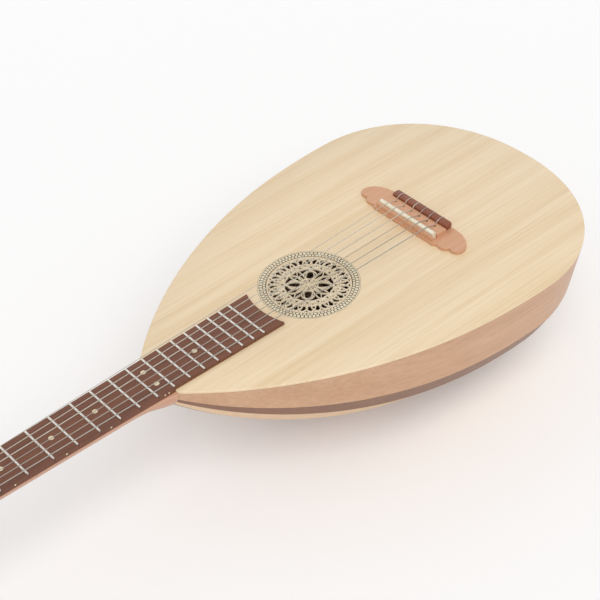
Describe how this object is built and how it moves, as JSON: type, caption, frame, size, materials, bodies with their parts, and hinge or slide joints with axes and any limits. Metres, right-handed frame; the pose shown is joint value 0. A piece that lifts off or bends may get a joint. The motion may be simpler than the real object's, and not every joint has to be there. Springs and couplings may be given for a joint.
{
  "type": "lute guitar",
  "caption": "Lute guitar with a ribbed bowl of light and dark staves, spruce top with pierced rose, fretted neck, slotted head and geared tuners.",
  "frame": {"origin": "under the middle of the whole length, level with the lowest line of the bowl", "axes": "+X along the strings from the head to the tail, +Y to the treble side, +Z out of the soundboard"},
  "size_m": [0.9908, 0.3346, 0.18],
  "materials": {
    "spruce": "satin",
    "pale_rib": "satin",
    "dark_rib": "satin",
    "rosewood": "satin",
    "pearwood": "satin",
    "block_wood": "matte",
    "bone": "polished",
    "nickel": "polished",
    "brass": "polished",
    "nylon": "polished",
    "silver_wound": "satin"
  },
  "bodies": {
    "body": {"bridge": "pearwood", "fingerboard": "rosewood", "fret_01": "nickel", "fret_02": "nickel", "fret_03": "nickel", "fret_04": "nickel", "fret_05": "nickel", "fret_06": "nickel", "fret_07": "nickel", "fret_08": "nickel", "fret_09": "nickel", "fret_10": "nickel", "fret_11": "nickel", "fret_12": "nickel", "fret_13": "nickel", "fret_14": "nickel", "fret_15": "nickel", "fret_16": "nickel", "fret_17": "nickel", "fret_18": "nickel", "fret_19": "nickel", "machine_plate_bass": "nickel", "machine_plate_treble": "nickel", "neck": "pearwood", "neck_block": "block_wood", "nut": "bone", "rib_01_pale": "pale_rib", "rib_02_dark": "dark_rib", "rib_03_pale": "pale_rib", "rib_04_dark": "dark_rib", "rib_05_pale": "pale_rib", "rib_06_dark": "dark_rib", "rib_07_pale": "pale_rib", "rib_08_dark": "dark_rib", "rib_09_pale": "pale_rib", "rib_10_dark": "dark_rib", "rib_11_pale": "pale_rib", "rose": "spruce", "saddle": "bone", "soundboard": "spruce", "string_1": "nylon", "string_2": "nylon", "string_3": "nylon", "string_4": "silver_wound", "string_5": "silver_wound", "string_6": "silver_wound", "tail_block": "block_wood", "tie_block": "rosewood"},
    "tuner_bass_1": {"tuner_bass_1": "nickel"},
    "roller_bass_1": {"roller_bass_1": "brass"},
    "tuner_bass_2": {"tuner_bass_2": "nickel"},
    "roller_bass_2": {"roller_bass_2": "brass"},
    "tuner_bass_3": {"tuner_bass_3": "nickel"},
    "roller_bass_3": {"roller_bass_3": "brass"},
    "tuner_treble_1": {"tuner_treble_1": "nickel"},
    "roller_treble_1": {"roller_treble_1": "brass"},
    "tuner_treble_2": {"tuner_treble_2": "nickel"},
    "roller_treble_2": {"roller_treble_2": "brass"},
    "tuner_treble_3": {"tuner_treble_3": "nickel"},
    "roller_treble_3": {"roller_treble_3": "brass"}
  },
  "joints": [
    {"name": "turn_button_bass_1", "type": "hinge", "parent": "body", "child": "tuner_bass_1", "pos_m": [-0.3839, -0.038, 0.14174], "axis": [-0.2588, 0, 0.9659], "continuous": true},
    {"name": "turn_roller_bass_1", "type": "hinge", "parent": "body", "child": "roller_bass_1", "pos_m": [-0.37414, -0.02, 0.14435], "axis": [0, 1, 0], "continuous": true},
    {"name": "turn_button_bass_2", "type": "hinge", "parent": "body", "child": "tuner_bass_2", "pos_m": [-0.4177, -0.038, 0.13268], "axis": [-0.2588, 0, 0.9659], "continuous": true},
    {"name": "turn_roller_bass_2", "type": "hinge", "parent": "body", "child": "roller_bass_2", "pos_m": [-0.40795, -0.02, 0.13529], "axis": [0, 1, 0], "continuous": true},
    {"name": "turn_button_bass_3", "type": "hinge", "parent": "body", "child": "tuner_bass_3", "pos_m": [-0.45151, -0.038, 0.12362], "axis": [-0.2588, 0, 0.9659], "continuous": true},
    {"name": "turn_roller_bass_3", "type": "hinge", "parent": "body", "child": "roller_bass_3", "pos_m": [-0.44176, -0.02, 0.12623], "axis": [0, 1, 0], "continuous": true},
    {"name": "turn_button_treble_1", "type": "hinge", "parent": "body", "child": "tuner_treble_1", "pos_m": [-0.3839, 0.038, 0.14174], "axis": [-0.2588, 0, 0.9659], "continuous": true},
    {"name": "turn_roller_treble_1", "type": "hinge", "parent": "body", "child": "roller_treble_1", "pos_m": [-0.37414, 0.02, 0.14435], "axis": [0, 1, 0], "continuous": true},
    {"name": "turn_button_treble_2", "type": "hinge", "parent": "body", "child": "tuner_treble_2", "pos_m": [-0.4177, 0.038, 0.13268], "axis": [-0.2588, 0, 0.9659], "continuous": true},
    {"name": "turn_roller_treble_2", "type": "hinge", "parent": "body", "child": "roller_treble_2", "pos_m": [-0.40795, 0.02, 0.13529], "axis": [0, 1, 0], "continuous": true},
    {"name": "turn_button_treble_3", "type": "hinge", "parent": "body", "child": "tuner_treble_3", "pos_m": [-0.45151, 0.038, 0.12362], "axis": [-0.2588, 0, 0.9659], "continuous": true},
    {"name": "turn_roller_treble_3", "type": "hinge", "parent": "body", "child": "roller_treble_3", "pos_m": [-0.44176, 0.02, 0.12623], "axis": [0, 1, 0], "continuous": true}
  ],
  "couplings": [
    {"joint": "turn_roller_bass_1", "follows": "turn_button_bass_1", "ratio": -0.071429},
    {"joint": "turn_roller_bass_2", "follows": "turn_button_bass_2", "ratio": -0.071429},
    {"joint": "turn_roller_bass_3", "follows": "turn_button_bass_3", "ratio": -0.071429},
    {"joint": "turn_roller_treble_1", "follows": "turn_button_treble_1", "ratio": -0.071429},
    {"joint": "turn_roller_treble_2", "follows": "turn_button_treble_2", "ratio": -0.071429},
    {"joint": "turn_roller_treble_3", "follows": "turn_button_treble_3", "ratio": -0.071429}
  ]
}
